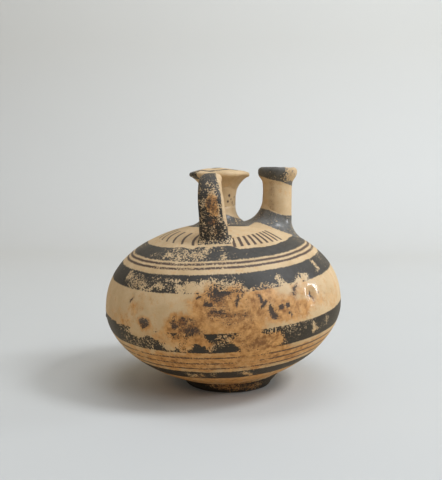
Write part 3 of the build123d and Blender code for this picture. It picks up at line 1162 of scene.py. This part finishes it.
print("bands:", len(BANDS), "thin lines:", len(THIN_LINES))

# %% [markdown]
# ## Flaking
# Slip comes off in flakes. A noise that is cut at a level gives flakes, and a higher level gives more of
# them, so the wear mark moves that level from place to place. A mask painted by hand would do as well,
# but could not be this fine.

# %% What is left of the slip
# Flakes are a bit under a millimetre wide and lie in clumps of about three millimetres.
FLECK = 0.7
CLUMP = 3.2
# The brush left an edge that wanders by 0.3 mm, and by half of that on thin lines.
BRUSH_EDGE = 0.3
THIN_EDGE = 0.5
EDGE_SOFTNESS = 0.15
WEAR_GAIN = 0.85
WEAR_START = 0.1
FLAKE_EDGE = (-0.04, 0.05)


def noise(tree, coordinates, size, detail=3.0):
    """Noise with features about `size` mm wide, stretched from its usual middle range to 0..1."""
    raw = add(
        tree,
        "TexNoise",
        {"Vector": coordinates, "Scale": 1 / (size * MM), "Detail": detail, "Roughness": 0.62},
    )
    return stretched(tree, raw, (0.3, 0.7))


def slip_left(tree, broad, thin, flake):
    """Share of slip at a point: inside a ragged edge, and where the flake noise beats the wear."""
    ragged = stretched(tree, flake, target=(-BRUSH_EDGE, BRUSH_EDGE))
    broad = reckon(tree, "ADD", broad, ragged)
    thin = reckon(tree, "MULTIPLY_ADD", ragged, THIN_EDGE, thin)
    distance = reckon(tree, "MAXIMUM", broad, thin)
    painted = stretched(tree, distance, (-EDGE_SOFTNESS, EDGE_SOFTNESS))
    wear = stored(tree, "wear")
    limit = reckon(tree, "MULTIPLY_ADD", wear, WEAR_GAIN, WEAR_START)
    beyond = reckon(tree, "SUBTRACT", flake, limit)
    kept = stretched(tree, beyond, FLAKE_EDGE)
    return reckon(tree, "MULTIPLY", painted, kept)


print("slip flakes in specks of about", FLECK, "mm, gathered in clumps of about", CLUMP, "mm")

# %% [markdown]
# ## One material for clay and slip
# Clay and slip are both fired earth, with an IOR of about 1.5, so they can share a shader and differ in
# colour and gloss alone. The clay is nearly matt, the slip a little smoother, and a place that hands have
# rubbed gets a thin coat that shines. Two materials would need a hard border between their faces.

# %% Colour of the clay
# Mottling from the kiln is about 9 mm wide, rusty crusts are about 2 mm.
# The clay's grit is under 0.2 mm, too fine to show, so it is drawn at 0.5 mm.
MOTTLE = 9.0
GRAIN = 0.5
CRUST = 2.2
RUST_LIMITS = (0.72, 1.3)
VEIN_LIMITS = (0.3, 0.95)
VEIN_STRENGTH = 0.8
SPECK_LIMITS = (1.04, 1.20)
# The sockets of a Mix node go by number, because its kinds share their names.
FLOAT_A, FLOAT_B = 2, 3
COLOUR_A, COLOUR_B, MIXED = 6, 7, 2


def blend(tree, share, first, second):
    """Colour between two others: each is a hex code or the output of another blend."""
    colours = [linear(c) if isinstance(c, str) else c for c in (first, second)]
    mixed = add(tree, "Mix", {0: share, COLOUR_A: colours[0], COLOUR_B: colours[1]}, data_type="RGBA")
    return mixed.outputs[MIXED]


def clay_colour(tree, mottle, clump, flake, grain, crust):
    """Buff clay, patchily rusted, smudged and specked where its marks say so."""
    rust = stored(tree, "rust")
    stain = stored(tree, "stain")
    rusted = rust
    for patchiness, share in ((mottle, 0.5), (clump, 0.35), (flake, 0.45)):
        rusted = reckon(tree, "MULTIPLY_ADD", patchiness, share, rusted)
    rusted = stretched(tree, rusted, RUST_LIMITS)
    buff = blend(tree, mottle, CLAY_BUFF, CLAY_PALE)
    burnt = blend(tree, crust, CLAY_BURNT, CLAY_RUST)
    clay = blend(tree, rusted, buff, burnt)
    vein = reckon(tree, "MULTIPLY_ADD", crust, -1.1, rust)
    vein = stretched(tree, vein, VEIN_LIMITS, (0.0, VEIN_STRENGTH))
    clay = blend(tree, vein, clay, CRUST_BROWN)
    smudge = reckon(tree, "MULTIPLY", stain, clump, use_clamp=True)
    clay = blend(tree, smudge, clay, SMUDGE_BROWN)
    speck = reckon(tree, "ADD", flake, grain)
    speck = reckon(tree, "MULTIPLY_ADD", speck, 0.5, stain)
    speck = reckon(tree, "MULTIPLY_ADD", rust, 0.16, speck)
    stained = stretched(tree, speck, SPECK_LIMITS)
    return blend(tree, stained, clay, STAIN_BROWN)


print("clay goes from", CLAY_BUFF, "to", CLAY_PALE, "and rusts to", CLAY_RUST)

# %% Colour of the slip
DRY_BRUSH = 0.5
CLOUDINESS = (0.22, 0.5)


def slip_colour(tree, broad, thin, clump):
    """Dark slip, browner in thin strokes, and greyed where its haze and sheen mark says: some haze, and a
    painted sheen for the light the slip reflects.
    """
    film = stored(tree, "film")
    cloudy = stretched(tree, clump, target=CLOUDINESS)
    haze_and_sheen_share = reckon(tree, "MULTIPLY", film, cloudy, use_clamp=True)
    dark = blend(tree, haze_and_sheen_share, SLIP_DARK, SLIP_HAZE_AND_SHEEN)
    dry_brush = reckon(tree, "GREATER_THAN", thin, broad)
    dry_brush = reckon(tree, "MULTIPLY", dry_brush, DRY_BRUSH)
    return blend(tree, dry_brush, dark, SLIP_THIN)


# The slip's grey is partly haze and partly painted sheen.
print("slip goes from", SLIP_DARK, "towards", SLIP_HAZE_AND_SHEEN, "under dust and", SLIP_THIN, "in dry strokes")

# %% The painted clay
CLUMPING = 0.28
# Throwing rills lie 1.3 mm apart, and the relief is 0.12 mm deep.
RILL = 1.3
CLAY_ROUGHNESS = 0.56
SLIP_ROUGHNESS = 0.47
POLISHING = -0.3
COAT_ROUGHNESS = 0.18
SPECULAR = 0.38
RELIEF = 0.12


def slip_painted_clay():
    """Buff clay with its marks, under what is left of the slip."""
    material, tree, shader = new_material("slip_painted_buff_clay")
    coordinates = add(tree, "TexCoord").outputs["Object"]
    height = band_height(tree, coordinates)
    clump = noise(tree, coordinates, CLUMP)
    mottle = noise(tree, coordinates, MOTTLE, detail=5.0)
    grain = noise(tree, coordinates, GRAIN)
    crust = noise(tree, coordinates, CRUST, detail=8.0)
    flake = add(tree, "Mix", {0: CLUMPING, FLOAT_A: noise(tree, coordinates, FLECK), FLOAT_B: clump})
    rills = add(tree, "TexNoise", {"W": height, "Scale": 1 / RILL, "Detail": 2.0}, noise_dimensions="1D")
    broad, thin = slip_distances(tree, height)
    slip = slip_left(tree, broad, thin, flake)
    clay = clay_colour(tree, mottle, clump, flake, grain, crust)
    surface = blend(tree, slip, clay, slip_colour(tree, broad, thin, clump))
    tree.links.new(surface, shader.inputs["Base Color"])

    gloss = stretched(tree, slip, target=(CLAY_ROUGHNESS, SLIP_ROUGHNESS))
    gloss = reckon(tree, "MULTIPLY_ADD", grain, 0.10, gloss)
    polish = stored(tree, "polish")
    gloss = reckon(tree, "MULTIPLY_ADD", polish, POLISHING, gloss)
    tree.links.new(gloss.outputs[0], shader.inputs["Roughness"])
    tree.links.new(polish, shader.inputs["Coat Weight"])
    shader.inputs["Coat Roughness"].default_value = COAT_ROUGHNESS
    shader.inputs["Specular IOR Level"].default_value = SPECULAR
    relief = reckon(tree, "MULTIPLY_ADD", slip, 0.35, grain)
    relief = reckon(tree, "MULTIPLY_ADD", rills, 0.4, relief)
    bump = add(tree, "Bump", {"Height": relief, "Distance": RELIEF * MM, "Strength": 0.5})
    tree.links.new(bump.outputs[0], shader.inputs["Normal"])
    return material


painted_clay = slip_painted_clay()
print("nodes in the painted clay:", len(painted_clay.node_tree.nodes))

# %% [markdown]
# ## Fit every skin to its solid
# Each skin stands for one solid and rides on the jar's only body. Naming the solid it replaces hides that
# solid.

# %% Ride, replace and dress
SKINS = {
    "thrown_body": (thrown_body, "painted_clay"),
    "ring_foot": (ring_foot, "painted_clay"),
    "false_neck": (false_neck, "painted_clay"),
    "false_mouth_disc": (false_mouth_disc, "painted_clay"),
    "front_handle": (front_handle, "painted_clay"),
    "rear_handle": (rear_handle, "painted_clay"),
    "pouring_spout": (pouring_spout, "painted_clay"),
    "spout_luting": (spout_luting, "luting_clay"),
    "neck_luting": (neck_luting, "luting_clay"),
    "front_handle_luting": (front_handle_luting, "luting_clay"),
    "rear_handle_luting": (rear_handle_luting, "luting_clay"),
}
for node, (piece, slot) in SKINS.items():
    piece.data.materials.clear()
    piece.data.materials.append(painted_clay)
    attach(piece, "root")
    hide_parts(node)
print("skins:", len(SKINS))

# %% [markdown]
# ## A pale sweep to stand on
# The jar stands on a pale grey sheet that curves up behind it, so there is no horizon. A flat floor and a
# wall would show a line. The sweep is a profile of floor, quarter circle and wall, carried sideways.

# %% Lay the sweep
SWEEP_GREY = "#C8C9C8"
# The back of the sheet is painted paler, standing for the light on the wall.
SWEEP_PAINTED_LIT = "#D7D8D7"
CARD_BOUNCE = "#D4C9B4"
SWEEP_BACK = 0.55
SWEEP_FRONT = -1.2
SWEEP_RADIUS = 0.35
SWEEP_HALF_WIDTH = 1.6
SWEEP_WALL = 1.6


def pale_sweep():
    """Floor, quarter circle and wall, as two long rows of points joined by quads."""
    bend = arc((SWEEP_BACK, SWEEP_RADIUS), SWEEP_RADIUS, -90, 0, 32)
    profile = np.concatenate([[(SWEEP_FRONT, 0)], bend, [(SWEEP_BACK + SWEEP_RADIUS, SWEEP_WALL)]])
    count = len(profile)
    sides = [np.insert(profile, 0, x, axis=1) for x in (-SWEEP_HALF_WIDTH, SWEEP_HALF_WIDTH)]
    index = np.arange(count - 1)
    quads = np.stack([index, index + count, index + count + 1, index + 1], -1)
    mesh = bpy.data.meshes.new("pale_sweep")
    mesh.from_pydata(np.concatenate(sides).tolist(), [], quads.tolist())
    mesh.shade_smooth()
    return show("pale_sweep", mesh)


def grey_card():
    """Pale card to the eye, painted palest at the back for the light on the wall, and a warmer one to the
    light it throws back on the jar.
    """
    material, tree, shader = new_material("matt_grey_card")
    axes = add(tree, "SeparateXYZ", {"Vector": add(tree, "TexCoord").outputs["Object"]})
    far = stretched(tree, axes.outputs["Y"], (0.15, 0.8))
    seen = add(tree, "LightPath").outputs["Is Camera Ray"]
    card = blend(tree, seen, CARD_BOUNCE, blend(tree, far, SWEEP_GREY, SWEEP_PAINTED_LIT))
    tree.links.new(card, shader.inputs["Base Color"])
    shader.inputs["Roughness"].default_value = 0.9
    shader.inputs["Specular IOR Level"].default_value = 0.2
    return material


sweep = pale_sweep()
sweep.data.materials.append(grey_card())
print("sweep faces:", len(sweep.data.polygons))

# %% [markdown]
# ## Light
# A small window lamp stands high on the right and throws the soft-edged shadow. A broad one in front of it
# lights the belly, and a low one behind it draws the bright spot on the polished place. A lamp turned to
# the back washes the sheet, and weak broad ones stand for the ceiling and the room, warm on the far side
# and plain on the near one. With the even grey sky they light a level surface so that a colour comes out
# about as it is written.

# %% Set the lamps and the sky
SKY_STRENGTH = 0.22
SKY_GREY = "#F2F4F6"
DAYLIGHT = "#F3F9FF"
ROOM_LIGHT = "#FFEACA"
scene = bpy.context.scene
scene.view_settings.view_transform = "Standard"
sky = bpy.data.worlds.new("even_sky")
sky.use_nodes = True
sky.node_tree.nodes["Background"].inputs["Color"].default_value = linear(SKY_GREY)
sky.node_tree.nodes["Background"].inputs["Strength"].default_value = SKY_STRENGTH
scene.world = sky


def soft_lamp(name, place, aim, size, power, colour=DAYLIGHT):
    """A square area lamp in metres, turned to face a point."""
    lamp = bpy.data.lights.new(name, "AREA")
    lamp.size = size
    lamp.energy = power
    lamp.color = linear(colour)[:3]
    holder = show(name, lamp)
    holder.location = place
    away = np.array(place) - np.array(aim)
    flat = math.hypot(away[0], away[1])
    holder.rotation_euler = (math.atan2(flat, away[2]), 0, math.atan2(away[0], -away[1]))
    return holder


soft_lamp("window", (0.80, -0.22, 1.00), (0, 0, 0.04), 0.30, 7.5)
soft_lamp("side_window", (1.00, -0.75, 1.05), (0, 0, 0.04), 0.90, 4.6)
soft_lamp("low_window", (1.15, 0.19, 0.36), (0, 0, 0.06), 0.20, 3.4)
soft_lamp("ceiling", (0.1, 0.0, 1.5), (0, 0, 0), 1.4, 1.2)
soft_lamp("backdrop_wash", (0.1, 0.10, 1.3), (0.0, 0.9, 0.5), 0.8, 5.6)
soft_lamp("far_room", (-1.05, -0.55, 1.00), (0, 0, 0.04), 1.2, 2.4, ROOM_LIGHT)
soft_lamp("near_room", (0.25, -0.85, 1.20), (0, 0, 0.06), 0.8, 3.2)

# %% [markdown]
# ## Camera
# The camera stands close, a little below the top of the disc, turned a few degrees from the handles' plane.
# Its lens follows from the focal length in pixels over the long side of the frame.

# %% Set the camera
FRAME_LONG_SIDE = 480
FOCAL_PIXELS = 665.0
VIEW_PITCH = 5.24
VIEW_TURN = 4.0
VIEW_POINT = (0.0190, -0.3253, 0.1002)
camera_data = bpy.data.cameras.new("camera")
camera_data.sensor_width = 36.0
camera_data.lens = FOCAL_PIXELS / FRAME_LONG_SIDE * camera_data.sensor_width
camera_data.clip_start = 0.01
camera = show("camera", camera_data)
camera.location = VIEW_POINT
camera.rotation_euler = (math.radians(90 - VIEW_PITCH), 0, math.radians(VIEW_TURN))
scene.camera = camera
print("lens:", round(camera_data.lens, 1), "mm")
